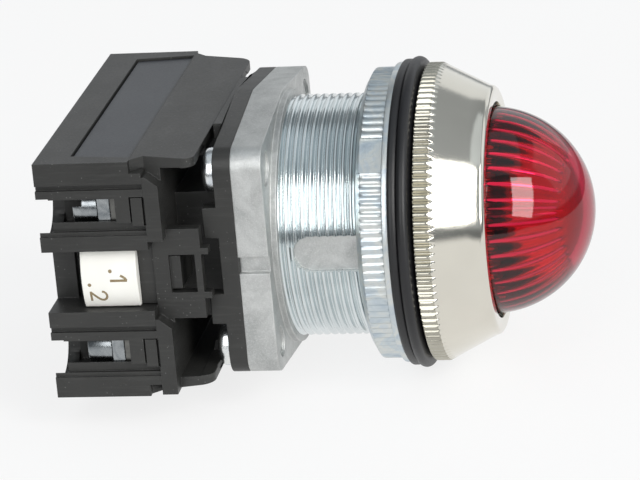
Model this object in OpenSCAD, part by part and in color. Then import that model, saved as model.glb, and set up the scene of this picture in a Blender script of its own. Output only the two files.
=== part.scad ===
// Panel pilot light for a 30.5 mm hole: a metal head with a domed lens, a threaded neck with its
// ring nut, and a two-pole terminal block clipped on behind.
// Origin on the lamp's axis at the front of the panel; -Y looks out of the panel, +Z is up.
// Modules are written along their own z axis, which runs forward, and lamp_axis() lays it along -Y.

/* [Neck] */
// Crest diameter of the neck's thread
neck_d = 30; // [29:0.5:31]
// Bore through the neck
neck_bore_d = 24.4; // [23:0.2:25]
// Length of neck in front of the panel, inside the bezel
neck_reach = 7.4; // [7:0.1:7.4]
// Distance between two ridges of the neck's thread
thread_pitch = 1; // [0.75:0.25:1.5]
// Depth of the grooves between the ridges
thread_depth = 0.5; // [0.3:0.05:0.6]
// Share of the pitch that the flat crest of a ridge takes
thread_crest = 0.2; // [0.1:0.05:0.4]
// Width of the keyway along the neck
keyway_w = 4.5; // [3:0.5:6]
// Depth of the keyway below the thread's crest
keyway_depth = 1; // [0.6:0.1:1.4]
// Plain thread left between the collar and the keyway's round end
keyway_offset = 1.5; // [1:0.5:4]
// Diameter of the collar at the root of the neck
collar_d = 31.5; // [31:0.1:32.5]
// Length of that collar
collar_t = 0.75; // [0.5:0.05:1.5]

/* [Flange] */
// Distance from the panel's front to the front of the flange
flange_back = 14.75; // [13.5:0.25:17]
// Thickness of the flange
flange_t = 3.75; // [3.25:0.25:5]
// Width of the flange from side to side
flange_w = 36.3; // [35.5:0.1:38]
// Height of the flange at its middle
flange_h = 32.9; // [32.4:0.1:34]
// Fall of the top edge from its middle to its ends
flange_fall = 2.3; // [1:0.1:2.6]
// Radius of the flange's corners
flange_corner_r = 2.6; // [1.5:0.1:3]
// Width of the parting groove across each side of the flange
side_groove_w = 2.1; // [1:0.1:3]
// Depth of that groove
side_groove_depth = 0.8; // [0.4:0.1:1.2]
// Length of the oval ejector marks on the front of the flange
ejector_len = 4.4; // [3.4:0.1:5]
// Width of the ejector marks
ejector_w = 3.4; // [2:0.1:3.4]
// Depth of the ejector marks
ejector_depth = 0.35; // [0.2:0.05:0.6]

/* [Ring nut and washer] */
// Diameter over the nut's knurling
nut_d = 36.1; // [35:0.1:37]
// Thickness of the nut
nut_t = 3.35; // [2.5:0.05:4]
// Teeth round the nut
nut_teeth = 110; // [90:2:120]
// Depth of the nut's teeth
nut_tooth = 0.28; // [0.2:0.02:0.4]
// Spanner slots round the nut
nut_slots = 2; // [2:1:4]
// Width of a spanner slot
nut_slot_w = 4.5; // [3:0.5:5]
// Depth of a spanner slot
nut_slot_depth = 0.6; // [0.4:0.1:1]
// Length of the bevel at the nut's rear edge
nut_bevel = 0.75; // [0.4:0.05:1]
// Drop of that bevel towards the axis
nut_bevel_drop = 1.3; // [0.6:0.1:1.8]
// Where the first slot lies, turned from the upright
nut_slot_angle = 48; // [0:1:90]
// Diameter of the keyed washer
washer_d = 37.2; // [36:0.1:38]
// Thickness of the keyed washer
washer_t = 0.75; // [0.5:0.05:1.5]

/* [Gasket] */
// Diameter of the gasket's rear rim
gasket_d = 37.9; // [37.3:0.1:38.5]
// Diameter over its round lip
gasket_lip_d = 38.5; // [38:0.1:39.5]
// Thickness of the gasket
gasket_t = 2.8; // [2.4:0.1:3.4]
// Radius of the round lip
gasket_lip_r = 0.75; // [0.6:0.05:0.9]
// Rounding of the gasket's rear edge
gasket_edge_r = 0.25; // [0.1:0.05:0.4]
// Length of the gasket's straight rim
gasket_rim_t = 0.75; // [0.5:0.05:0.9]
// Height of the step in front of the lip
gasket_step = 0.4; // [0.2:0.1:0.5]

/* [Bezel] */
// Diameter over the bezel's teeth
bezel_d = 36.9; // [36:0.1:38]
// Length of the bezel
bezel_len = 8.25; // [7.8:0.05:9]
// Length of the toothed band
bezel_band = 1.7; // [1.2:0.1:2.2]
// Diameter at the front end of the bezel's cone
bezel_nose_d = 30.9; // [30:0.1:32]
// Radius of the rolled front lip
bezel_lip_r = 0.75; // [0.5:0.05:1]
// Bevel of the bezel's rear edge and of its hole
bezel_bevel = 0.3; // [0.1:0.05:0.4]
// Hole that the lens comes through
bezel_hole_d = 26.6; // [26.2:0.1:27.2]
// Depth of the hole's plain wall
bezel_hole_len = 2.4; // [2:0.1:2.8]
// Teeth round the bezel
bezel_teeth = 110; // [90:2:130]
// Depth of the bezel's teeth
bezel_tooth = 0.38; // [0.2:0.02:0.5]

/* [Lens] */
// Diameter of the lens dome
lens_d = 25.6; // [25:0.1:25.8]
// Height of the dome's centre in front of the panel
lens_centre = 10.1; // [9.6:0.1:11]
// Thickness of the dome's wall
lens_wall = 1.5; // [1.2:0.1:2]
// Diameter of the foot that the bezel holds
lens_foot_d = 28.2; // [27.6:0.1:28.6]
// Thickness of that foot
lens_foot_t = 1.2; // [0.9:0.1:1.4]
// Depth of the seal's front below the bezel's lip
seal_sink = 0.9; // [0.6:0.1:1.4]
// Light-spreading ribs inside the dome
lens_ribs = 36; // [24:2:48]
// Height of a rib off the wall
lens_rib_h = 0.6; // [0.3:0.1:0.9]
// Width of a rib
lens_rib_w = 0.8; // [0.5:0.1:1]
// Diameter of the clear spot at the tip, where the ribs stop
lens_spot_d = 12.5; // [8:0.5:14]

/* [Base plate] */
// Thickness of the base plate
plate_t = 2.2; // [1.8:0.1:2.8]
// Height of the feet behind the plate
foot_h = 1.7; // [1.2:0.1:2]
// Width of a side foot
foot_w = 3.9; // [3:0.1:4.5]
// Distance of a side foot's middle from the axis's height
foot_offset = 5.5; // [5.2:0.1:6]
// Wall thickness of the feet
foot_wall = 2; // [1.4:0.1:2.2]
// Width of the long foot along the top and bottom edges
long_foot_w = 19; // [14:0.5:20]
// Height of the long feet
long_foot_h = 1.2; // [0.8:0.1:1.3]

/* [Base screws] */
// Inset of a base screw from the flange's side
screw_inset = 3.3; // [3.2:0.1:3.6]
// Drop of a base screw below the middle of the flange's top edge
screw_drop = 5.35; // [5.2:0.05:5.6]
// Diameter of the screw's head
screw_head_d = 5.6; // [5:0.1:5.8]
// Height of the screw's head
screw_head_h = 1.55; // [1.3:0.05:1.6]
// Rounding of that head
screw_head_r = 0.9; // [0.6:0.1:1.2]
// Width of the cross in it
cross_w = 0.55; // [0.4:0.05:0.8]
// Length of the cross, as a share of the head
cross_share = 0.6; // [0.4:0.05:0.7]
// Diameter of the screw's shank
screw_d = 3.5; // [3:0.1:3.6]
// Length of the screw's shank
screw_len = 5; // [4.4:0.1:5.2]

/* [Terminal block] */
// Width of the block from end to end
block_w = 44.8; // [44:0.2:46]
// Height of the block
block_h = 29.9; // [29.6:0.1:30.4]
// Length of the terminal housing along the axis
housing_len = 13.1; // [12.8:0.1:14]
// Thickness of the clip frame's wall
frame_wall_t = 1.9; // [1.6:0.1:2.4]
// Gap behind the base plate that the waist spans
waist_len = 5.8; // [5.6:0.1:7]
// How far the waist stands in from each end of the block
waist_inset = 8.9; // [8.5:0.1:9.5]
// Depth of the recess between the two terminal rows
recess_depth = 5.1; // [4.4:0.1:5.4]
// Top of the recess above the axis
recess_top = 3.8; // [3.6:0.1:4]
// Bottom of the recess below the axis
recess_bottom = 3.95; // [3.7:0.05:4.1]
// Height of the upper terminals' axis above the lamp's axis
upper_row = 8.65; // [8.5:0.05:8.8]
// Height of the lower terminals' axis below the lamp's axis
lower_row = 9.4; // [9.2:0.05:9.5]
// Thickness of the wall behind a terminal
rear_wall = 1.5; // [1.2:0.1:1.8]
// Thickness of the lips that half cover a terminal
lip_t = 1; // [0.8:0.1:1]
// Height of the room round a terminal screw
bay_h = 6.7; // [6.5:0.1:6.8]
// Depth of that room from the lip inwards
bay_depth = 6.3; // [6.2:0.1:6.6]
// Length of that room along the axis
bay_len = 8.4; // [8.3:0.1:8.5]
// Diameter of the screwdriver hole behind a terminal
driver_hole_d = 8.4; // [7.8:0.1:8.4]
// Height of the wire window between the lips
window_h = 3.1; // [2.4:0.1:3.2]
// Length of the wire window
window_len = 8.1; // [7.4:0.1:8.1]
// Height of the window's middle above the terminal's axis
window_rise = 0.2; // [0:0.05:0.4]
// Height of the sunken sill under the window
sill_h = 1.1; // [0.8:0.1:1.3]
// Depth of the sill
sill_depth = 0.8; // [0.4:0.1:0.9]
// Height of the shallow strip under the sill
strip_h = 0.5; // [0.4:0.1:0.8]
// Depth of the shallow strip
strip_depth = 0.3; // [0.2:0.05:0.4]
// Height of the groove above the window
groove_h = 0.65; // [0.4:0.05:0.8]
// Depth of that groove
groove_depth = 0.5; // [0.3:0.1:0.7]
// Strip left between the window and the groove
groove_rise = 1.1; // [0.9:0.1:1.3]
// Length of the clip wings over the waist
wing_len = 7.4; // [7:0.1:7.6]
// Width of the clip wings
wing_w = 40.4; // [39:0.2:42]
// Thickness of a wing at its root
wing_t = 1.45; // [1.2:0.05:1.6]
// Thickness of a wing at its tip
wing_tip_t = 1; // [0.8:0.05:1.2]
// Radius of the wing's corners
wing_corner_r = 1.5; // [0.8:0.1:2]
// Drop of a wing's outer face from root to tip
wing_drop = 0.6; // [0.2:0.1:0.8]
// Height of the lip along a wing's tip
wing_lip_h = 1.3; // [0.6:0.1:1.6]
// Length of that lip
wing_lip_len = 1.2; // [0.8:0.1:1.6]
// Slope of the wing's lip, fore and aft
wing_lip_slope = 0.4; // [0.2:0.1:0.6]
// Bevel of the wing's rear corners
wing_bevel = 0.8; // [0.4:0.1:1.2]
// Wall of the hollow waist
waist_wall = 1.6; // [1.2:0.1:2]
// Top of the columns above the upper terminals' axis
column_rise = 4.3; // [4.1:0.1:4.6]
// Length of the columns below that axis
column_drop = 3.8; // [3.5:0.1:4]
// Chamfer of a column's front corner
column_chamfer = 1.2; // [0.6:0.1:1.6]
// Straight part of a column behind its slope
column_land = 0.4; // [0.2:0.1:0.8]
// Length of the snap tooth in a column
snap_len = 1.6; // [1.4:0.1:1.7]
// Height of the snap tooth
snap_h = 3.5; // [3:0.1:3.8]
// Depth of the snap teeth from the block's side
snap_t = 2.6; // [2.2:0.1:2.8]
// Depth of the dark slot behind a snap tooth
slot_depth = 0.7; // [0.4:0.1:0.9]
// Wall between the terminal rooms and the middle chamber
chamber_wall = 1.2; // [1:0.1:1.4]

/* [Label] */
// Length of the label plate along the block
label_w = 39.2; // [38:0.2:39.6]
// Width of the label plate
label_h = 7.4; // [6:0.1:7.8]
// How far the label plate's front edge is longer at each end
label_splay = 0.9; // [0:0.1:1]
// Depth of the label plate's face below the housing
label_sink = 0.3; // [0.1:0.05:0.5]
// Thickness of the label plate
label_t = 0.9; // [0.7:0.1:1]

/* [Marker] */
// Width of the marker plate
marker_w = 6.9; // [6:0.1:7.2]
// Height of the marker plate
marker_h = 7.5; // [6.5:0.1:7.5]
// Thickness of the marker plate
marker_t = 1; // [0.8:0.1:1.2]
// Radius of its bulging face
marker_r = 9; // [7:0.5:14]
// Rise of the bulge above its edges
marker_bulge = 0.55; // [0.3:0.05:0.8]
// Depth of its face below the ends of the block
marker_sink = 1.3; // [1.1:0.1:1.6]
// Depth of the slot round its carrier
marker_slot_depth = 1; // [0.6:0.1:1.4]
// Distance from the back of the block to that slot
marker_slot_start = 2.7; // [2.4:0.1:3]
// Dark gap behind the marker
marker_gap = 1.6; // [1:0.1:1.8]

/* [Latch] */
// Height of the latch plate
latch_h = 11.4; // [11.2:0.1:11.6]
// Thickness of the latch plate
latch_t = 1.5; // [1.2:0.1:1.8]
// Depth of the latch plate's face below the ends of the block
latch_sink = 2; // [1.8:0.1:2.2]
// Height of the latch's window
latch_window_h = 4.8; // [4.4:0.1:5.4]
// Length of the latch's window
latch_window_len = 3.9; // [3.4:0.1:4]
// Thickness of the bar in front of the window
latch_bar = 0.8; // [0.6:0.1:1]
// Length of the two small hooks
latch_hook = 0.9; // [0.6:0.1:1]
// Height of a small hook
latch_hook_h = 0.8; // [0.6:0.1:1]
// Length of the block inside the latch's window
latch_core_len = 2; // [1.6:0.1:2.4]
// Gap between that block and the window
latch_core_gap = 0.3; // [0.2:0.05:0.4]

/* [Terminals] */
// Diameter of a terminal screw's head
clamp_head_d = 5.2; // [4.8:0.1:5.3]
// Height of that head
clamp_head_h = 3.1; // [2.6:0.1:3.2]
// Width of the slot in it
clamp_slot_w = 0.8; // [0.6:0.1:1.2]
// Depth of that slot
clamp_slot_depth = 1.2; // [0.8:0.1:1.6]
// Diameter of the terminal screw
clamp_screw_d = 3.5; // [3:0.1:3.6]
// Length of the terminal screw's shank
clamp_screw_len = 3.8; // [3.5:0.1:3.8]
// Thickness of the clamp washer
clamp_t = 1.5; // [1.2:0.1:1.6]
// Width across the clamp washer
clamp_w = 5.2; // [4.8:0.1:5.4]
// Thickness of the terminal bars
bar_t = 1.2; // [1:0.1:1.3]
// Width of the terminal bars
bar_w = 5.6; // [5:0.1:6]

/* [Lamp] */
// Gap between the lamp holder's tube and the neck's bore
holder_gap = 0.6; // [0.3:0.1:1]
// Wall of the lamp holder
holder_wall = 1.5; // [1:0.1:2]
// Reach of the lamp holder in front of the panel
holder_reach = 4.4; // [3.5:0.1:5]
// Thickness of the light board
light_board_t = 1.2; // [1:0.1:1.6]
// Diameter of one diode's body
diode_d = 3; // [2:0.2:3.4]
// Length of one diode's body
diode_len = 3.6; // [3:0.2:4]
// Radius of the ring of diodes
diode_ring_r = 6; // [5:0.2:7]
// Diodes round the ring
diode_count = 6; // [4:1:8]
// Thickness of the driver board
driver_board_t = 1.6; // [1:0.1:2]
// Diameter of the smoothing capacitor
capacitor_d = 6.3; // [5:0.1:6.4]
// Length of the smoothing capacitor
capacitor_len = 9; // [7:0.5:10]
// Length of the rectifier
rectifier_len = 6.5; // [5:0.1:7]
// Width of the rectifier
rectifier_w = 6; // [5:0.1:6.4]
// Thickness of the rectifier
rectifier_t = 2.6; // [2:0.1:3]
// Diameter of the series resistor
resistor_d = 2.8; // [2:0.1:3]
// Length of the series resistor
resistor_len = 8.5; // [6:0.1:9]
// Gap between the parts on the driver board
part_gap = 1.2; // [0.6:0.1:1.6]
// Diameter of the supply pins
pin_d = 1.5; // [1:0.1:1.8]
// Distance of a supply pin from the axis
pin_offset = 4; // [3.4:0.1:5]

/* [Clearances] */
// Radial clearance of the screwed parts
thread_gap = 0.05; // [0.03:0.01:0.1]
// Gap between faces of parts that move apart
face_gap = 0.1; // [0.05:0.01:0.15]
// Room between the heads of the base screws and the clip frame
head_room = 0.3; // [0.2:0.05:0.5]
// Gap round parts that are pushed into place
seat_gap = 0.15; // [0.1:0.05:0.2]

/* [Hidden] */
$fn = 96;
eps = 0.01;
corner_steps = 5;
round_steps = 6;
// shares of the pitch at which a tooth starts, is full, is full still and ends
tooth_shares = [0.1, 0.28, 0.82, 1];
// distances along the axis, from the panel's front forward
flange_front = -flange_back;
flange_rear = flange_front - flange_t;
plate_rear = flange_rear - plate_t;
frame_front = plate_rear - waist_len;
seam = frame_front - frame_wall_t;
rear = seam - housing_len;
bay_rear = rear + rear_wall;
bay_front = bay_rear + bay_len;
wing_rear = seam - wing_t;
wing_front = wing_rear + wing_len;
bar_rear = bay_front - bar_t;
clamp_front = bar_rear - face_gap / 2;
head_front = clamp_front - clamp_t - face_gap / 2;
head_rear = head_front - clamp_head_h;
bezel_rear = gasket_t + face_gap;
bezel_front = bezel_rear + bezel_len;
foot_front = bezel_front - bezel_hole_len - face_gap / 2;
foot_rear = foot_front - lens_foot_t;
nut_front = -washer_t - face_gap;
nut_rear = nut_front - nut_t;
board_front = bay_front + driver_board_t;
latch_front = plate_rear - foot_h - face_gap;
// radii, half sizes and places across the axis
neck_r = neck_d / 2;
lens_r = lens_d / 2;
block_x = block_w / 2;
block_y = block_h / 2;
recess_x = block_x - recess_depth;
bay_x = block_x - lip_t;
bay_inner_x = bay_x - bay_depth;
chamber_x = bay_inner_x - chamber_wall;
chamber_y = block_y - label_sink - label_t - chamber_wall;
terminal_x = bay_x - clamp_head_d / 2 - seat_gap;
waist_x = block_x - waist_inset;
latch_x = block_x - latch_sink;
marker_x = block_x - marker_sink;
screw_x = flange_w / 2 - screw_inset;
screw_rise = flange_h / 2 - screw_drop;
waist_y = screw_rise - screw_head_d / 2 - head_room;
holder_d = neck_bore_d - 2 * holder_gap;
rows = [upper_row, -lower_row];

// Points of a circular arc
function arc(centre, r, from, to, steps) = [
    for (i = [0:steps])
        let (a = from + (to - from) * i / steps)
        [centre[0] + r * cos(a), centre[1] + r * sin(a)]
];

// Outline with straight sides, a top and bottom that fall from the middle, and round corners
function gable_outline(w, h, fall, r) =
    let (
        half_w = w / 2,
        slope = atan2(fall, half_w),
        corner_x = half_w - r,
        corner_y = h / 2 - fall * corner_x / half_w - r / cos(slope),
        half = concat(
            arc([corner_x, corner_y], r, 0, 90 - slope, corner_steps),
            [[0, h / 2]],
            arc([-corner_x, corner_y], r, 90 + slope, 180, corner_steps)
        )
    )
    concat(half, [for (p = half) -p]);

// Half section of a neck with ridges all along it
function ridged_section(r, from, to) =
    let (
        turns = floor((to - from) / thread_pitch - thread_crest),
        land = thread_pitch * thread_crest / 2
    )
    concat(
        [[0, from], [r, from]],
        [
            for (i = [0:turns - 1], step = [0:2])
                let (z = from + i * thread_pitch)
                step == 0 ? [r, z + land]
                : step == 1 ? [r - thread_depth, z + thread_pitch / 2]
                : [r, z + thread_pitch - land]
        ],
        [[r, to], [0, to]]
    );

// Outline of straight teeth round a circle
function toothed_outline(r, depth, teeth) = [
    for (i = [0:teeth - 1], side = [0:3])
        let (
            pitch = 360 / teeth,
            a = (i + tooth_shares[side]) * pitch,
            tip = side == 1 || side == 2
        )
        (tip ? r : r - depth) * [cos(a), sin(a)]
];

module lamp_axis() {
    rotate([90, 0, 0])
        children();
}

// A round part between two places on the axis
module turned(r, from, to) {
    translate([0, 0, from])
        cylinder(r = r, h = to - from);
}

// A box given by its lowest and highest corners
module block(low, high) {
    translate(low)
        cube(high - low);
}

// The same thing at both ends of the block
module both_ends() {
    children();
    mirror([1, 0, 0])
        children();
}

// The four corners where the base screws stand
module at_corner(i) {
    translate([(i % 2 == 0 ? -1 : 1) * screw_x, (i < 2 ? 1 : -1) * screw_rise, 0])
        children();
}

// The four terminals: near upper, near lower, far upper, far lower
module at_terminal(i) {
    translate([(i < 2 ? -1 : 1) * terminal_x, rows[i % 2], 0])
        children();
}

module keyway(w, depth) {
    round_end = flange_front + collar_t + keyway_offset + w / 2;
    reach = neck_reach + 1 - round_end;
    translate([-neck_r + depth, 0, round_end])
        rotate([0, -90, 0]) {
            cylinder(d = w, h = depth + 1);
            translate([0, -w / 2, 0])
                cube([reach, w, depth + 1]);
        }
}

module body_casting() color("silver") lamp_axis() {
    difference() {
        union() {
            translate([0, 0, flange_rear])
                linear_extrude(flange_t)
                    polygon(gable_outline(flange_w, flange_h, flange_fall, flange_corner_r));
            turned(collar_d / 2, flange_rear + 1, flange_front + collar_t);
            turned(neck_r, flange_rear + 1, flange_front + collar_t);
            rotate_extrude()
                polygon(ridged_section(neck_r, flange_front + collar_t, neck_reach));
        }
        turned(neck_bore_d / 2, flange_rear - 1, neck_reach + 1);
        keyway(keyway_w, keyway_depth);
        both_ends()
            block(
                [flange_w / 2 - side_groove_depth, -side_groove_w / 2, flange_rear - 1],
                [flange_w / 2 + 1, side_groove_w / 2, flange_front + 1]
            );
        for (i = [0:3]) {
            at_corner(i)
                turned(screw_d / 2 + thread_gap, flange_rear - 1, flange_rear + screw_len - plate_t + seat_gap);
            at_corner(i)
                rotate((i == 0 || i == 3) ? 45 : -45) {
                    side = ejector_len / 2 - ejector_w / 2;
                    for (x = [-side, side])
                        translate([x, 0, 0])
                            turned(ejector_w / 2, flange_front - ejector_depth, flange_front + 1);
                    block(
                        [-side, -ejector_w / 2, flange_front - ejector_depth],
                        [side, ejector_w / 2, flange_front + 1]
                    );
                }
        }
    }
}

module ring_nut() color("lightsteelblue") lamp_axis() {
    outer = nut_d / 2;
    difference() {
        intersection() {
            rotate_extrude()
                polygon([
                    [neck_r + thread_gap, nut_rear],
                    [outer - nut_bevel_drop, nut_rear],
                    [outer, nut_rear + nut_bevel],
                    [outer, nut_front],
                    [neck_r + thread_gap, nut_front]
                ]);
            translate([0, 0, nut_rear - 1])
                linear_extrude(nut_t + 2)
                    polygon(toothed_outline(outer + eps, nut_tooth, nut_teeth));
        }
        for (i = [0:nut_slots - 1])
            rotate(nut_slot_angle + 360 * i / nut_slots)
                block(
                    [-nut_slot_w / 2, outer - nut_slot_depth, nut_rear - 1],
                    [nut_slot_w / 2, outer + 1, nut_front + 1]
                );
    }
}

module panel_washer() color("silver") lamp_axis() {
    difference() {
        turned(washer_d / 2, -washer_t - face_gap / 2, -face_gap / 2);
        turned(neck_r + thread_gap, -washer_t - 1, 1);
    }
    // tongue that runs in the keyway
    block(
        [-neck_r - 1, -keyway_w / 2 + seat_gap, -washer_t - face_gap / 2],
        [-neck_r + keyway_depth - seat_gap, keyway_w / 2 - seat_gap, -face_gap / 2]
    );
}

module panel_gasket() color([0.08, 0.08, 0.09]) lamp_axis() {
    rim = gasket_d / 2;
    lip = gasket_lip_d / 2 - gasket_lip_r;
    lip_z = gasket_t - gasket_lip_r - gasket_step + eps;
    rotate_extrude()
        polygon(concat(
            [[neck_r + thread_gap, 0], [rim - gasket_edge_r, 0]],
            arc([rim - gasket_edge_r, gasket_edge_r], gasket_edge_r, -90, 0, corner_steps),
            [[rim, gasket_rim_t]],
            arc([lip, lip_z], gasket_lip_r, -40, 80, 2 * round_steps),
            [[lip - gasket_step, gasket_t], [neck_r + thread_gap, gasket_t]]
        ));
}

module bezel_ring() color("gainsboro") lamp_axis() {
    nose = bezel_nose_d / 2;
    hole = bezel_hole_d / 2;
    shoulder = bezel_rear + bezel_band;
    lip_z = bezel_front - bezel_lip_r;
    difference() {
        intersection() {
            rotate_extrude()
                polygon(concat(
                    [[hole - 1, bezel_rear], [bezel_d / 2 - bezel_bevel, bezel_rear]],
                    [[bezel_d / 2, bezel_rear + bezel_bevel], [bezel_d / 2, shoulder], [nose, lip_z]],
                    arc([nose - bezel_lip_r, lip_z], bezel_lip_r, 15, 90, round_steps),
                    [[hole + bezel_bevel, bezel_front], [hole - bezel_bevel, bezel_front - 2 * bezel_bevel]],
                    [[hole - 1, bezel_front - 2 * bezel_bevel]]
                ));
            translate([0, 0, bezel_rear - 1])
                linear_extrude(bezel_len + 2)
                    polygon(toothed_outline(bezel_d / 2 + eps, bezel_tooth, bezel_teeth));
        }
        turned(hole, bezel_rear - 1, bezel_front + 1);
        turned(lens_foot_d / 2 + seat_gap, bezel_rear - 1, bezel_front - bezel_hole_len);
        turned(neck_r + thread_gap, bezel_rear - 1, neck_reach + face_gap);
    }
}

module lens_dome() color([0.75, 0.03, 0.06, 0.8]) lamp_axis() {
    inner = lens_r - lens_wall;
    difference() {
        union() {
            translate([0, 0, lens_centre])
                sphere(r = lens_r);
            turned(lens_r, foot_rear, lens_centre);
            turned(lens_foot_d / 2, foot_rear, foot_front);
        }
        translate([0, 0, lens_centre])
            sphere(r = inner);
        turned(inner, foot_rear - 1, lens_centre);
        turned(lens_d, foot_rear - lens_d, foot_rear);
    }
    // light-spreading ribs that stop short of the tip
    intersection() {
        difference() {
            translate([0, 0, lens_centre])
                sphere(r = inner + eps);
            translate([0, 0, lens_centre])
                sphere(r = inner - lens_rib_h);
            turned(lens_spot_d / 2, lens_centre, lens_centre + lens_d);
            turned(lens_d, lens_centre - lens_d, lens_centre);
        }
        for (i = [0:lens_ribs - 1])
            rotate(360 * i / lens_ribs)
                block([1, -lens_rib_w / 2, lens_centre - 1], [lens_d, lens_rib_w / 2, lens_centre + lens_d]);
    }
}

module lens_seal() color([0.05, 0.05, 0.05]) lamp_axis() {
    difference() {
        turned(bezel_hole_d / 2 - seat_gap, foot_front, bezel_front - seal_sink);
        turned(lens_r, foot_front - 1, bezel_front);
    }
}

module base_plate() color([0.2, 0.2, 0.2]) lamp_axis() {
    edge = flange_w / 2;
    foot_rear_z = plate_rear - foot_h;
    foot_edge = flange_h / 2 - flange_fall * long_foot_w / flange_w;
    difference() {
        union() {
            translate([0, 0, plate_rear])
                linear_extrude(plate_t)
                    polygon(gable_outline(flange_w, flange_h, flange_fall, flange_corner_r));
            both_ends()
                for (side = [-1, 1])
                    translate([edge - foot_wall, side * foot_offset - foot_w / 2, foot_rear_z])
                        cube([foot_wall, foot_w, foot_h + 1]);
            for (side = [0, 1])
                mirror([0, side, 0])
                    translate([-long_foot_w / 2, foot_edge - foot_wall, plate_rear - long_foot_h])
                        cube([long_foot_w, foot_wall, long_foot_h + 1]);
        }
        turned(holder_d / 2 + seat_gap, plate_rear - 1, flange_rear + 1);
        for (i = [0:3])
            at_corner(i)
                turned(screw_d / 2 + thread_gap, plate_rear - 1, flange_rear + 1);
    }
}

module base_screw(i) color("silver") lamp_axis() at_corner(i) {
    head = screw_head_d / 2;
    head_rear_z = plate_rear - screw_head_h;
    reach = head * cross_share;
    difference() {
        union() {
            rotate_extrude()
                polygon(concat(
                    [[0, plate_rear], [head, plate_rear]],
                    arc([head - screw_head_r, head_rear_z + screw_head_r], screw_head_r, 0, -75, round_steps),
                    [[0, head_rear_z]]
                ));
            turned(screw_d / 2, plate_rear - eps, plate_rear + screw_len);
        }
        rotate(25 + 31 * i) {
            block([-reach, -cross_w / 2, head_rear_z - 1], [reach, cross_w / 2, head_rear_z + 1]);
            block([-cross_w / 2, -reach, head_rear_z - 1], [cross_w / 2, reach, head_rear_z + 1]);
        }
    }
}

module base_screw_1() base_screw(0);

module base_screw_2() base_screw(1);

module base_screw_3() base_screw(2);

module base_screw_4() base_screw(3);

// Everything cut into one end of the terminal housing, drawn at +x
module end_cuts() {
    out = block_x + 1;
    for (row = rows) {
        window_mid = row + window_rise;
        window_low = window_mid - window_h / 2;
        window_top = window_mid + window_h / 2;
        // room round the screw
        block([bay_inner_x, row - bay_h / 2, bay_rear], [bay_x, row + bay_h / 2, bay_front]);
        // wire window between the lips
        block([bay_x - 1, window_low, bay_rear], [out, window_top, bay_rear + window_len]);
        // sunken sill and strip under the window
        block([block_x - sill_depth, window_low - sill_h, rear - 1], [out, window_low + eps, seam + 1]);
        block(
            [block_x - strip_depth, window_low - sill_h - strip_h, rear - 1],
            [out, window_low, seam + 1]
        );
        // groove above the window
        block(
            [block_x - groove_depth, window_top + groove_rise, rear - 1],
            [out, window_top + groove_rise + groove_h, seam + 1]
        );
        // way in for the screwdriver
        translate([terminal_x, row, 0])
            turned(driver_hole_d / 2, rear - 1, bay_rear + eps);
        // thread hole under the bar
        translate([terminal_x, row, 0])
            turned(clamp_screw_d / 2 + thread_gap, bay_front - 1, seam - snap_len - face_gap);
        // pocket for the frame's snap tooth
        block(
            [block_x - snap_t, row - snap_h / 2 - seat_gap, seam - snap_len - seat_gap],
            [out, row + snap_h / 2 + seat_gap, seam + 1]
        );
        // slot that passes the terminal bar
        block(
            [chamber_x - 1, row - bar_w / 2 - thread_gap, bar_rear - thread_gap],
            [bay_inner_x + 1, row + bar_w / 2 + thread_gap, bay_front]
        );
    }
    // recess between the rows
    block([recess_x, -recess_bottom, rear - 1], [out, recess_top, seam + 1]);
    // slot round the marker's carrier
    block(
        [recess_x - marker_slot_depth, -recess_bottom, rear + marker_slot_start],
        [recess_x + 1, recess_top, seam + 1]
    );
}

module marker_carrier() {
    start = rear + marker_slot_start + marker_gap;
    block(
        [recess_x - marker_slot_depth - 1, -recess_bottom + seat_gap, start],
        [marker_x - marker_t, recess_top - seat_gap, seam]
    );
}

module label_outline() {
    half = label_w / 2;
    polygon([
        [-half, 0],
        [half, 0],
        [half + label_splay, label_h],
        [-half - label_splay, label_h]
    ]);
}

module terminal_housing() color([0.22, 0.22, 0.21]) lamp_axis() {
    label_floor = block_y - label_sink - label_t;
    difference() {
        block([-block_x, -block_y, rear], [block_x, block_y, seam]);
        both_ends()
            end_cuts();
        // middle chamber, open to the front
        block([-chamber_x, -chamber_y, rear + rear_wall], [chamber_x, chamber_y, seam + 1]);
        // steps that the wings lie on
        for (side = [0, 1])
            mirror([0, side, 0])
                block([-block_x - 1, block_y - wing_t, wing_rear], [block_x + 1, block_y + 1, seam + 1]);
        // seat of the label plate
        translate([0, block_y + 1, wing_rear - label_h - seat_gap])
            rotate([90, 0, 0])
                linear_extrude(block_y + 1 - label_floor)
                    label_outline();
    }
    both_ends()
        marker_carrier();
}

module wing_side_outline() {
    outer = block_y - wing_drop;
    inner = outer - wing_tip_t;
    polygon([
        [wing_rear, block_y],
        [seam, block_y],
        [wing_front, outer],
        [wing_front + eps, inner],
        [wing_front - wing_lip_slope, inner - wing_lip_h],
        [wing_front - wing_lip_len, inner - wing_lip_h],
        [wing_front - wing_lip_len - wing_lip_slope, inner],
        [frame_front, block_y - wing_t - face_gap],
        [seam, block_y - wing_t],
        [wing_rear, block_y - wing_t]
    ]);
}

module wing_top_outline() {
    half = wing_w / 2;
    polygon(concat(
        [[-block_x + wing_bevel, wing_rear], [block_x - wing_bevel, wing_rear], [half, seam]],
        arc([half - wing_corner_r, wing_front - wing_corner_r + eps], wing_corner_r, 0, 90, corner_steps),
        arc(
            [-half + wing_corner_r, wing_front - wing_corner_r + eps],
            wing_corner_r, 90, 180, corner_steps
        ),
        [[-half, seam]]
    ));
}

// One wing, above the axis
module wing() {
    intersection() {
        rotate([0, -90, 0])
            translate([0, 0, -block_x])
                linear_extrude(block_w)
                    wing_side_outline();
        translate([0, block_y + 1, 0])
            rotate([90, 0, 0])
                linear_extrude(block_y)
                    wing_top_outline();
    }
}

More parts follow.
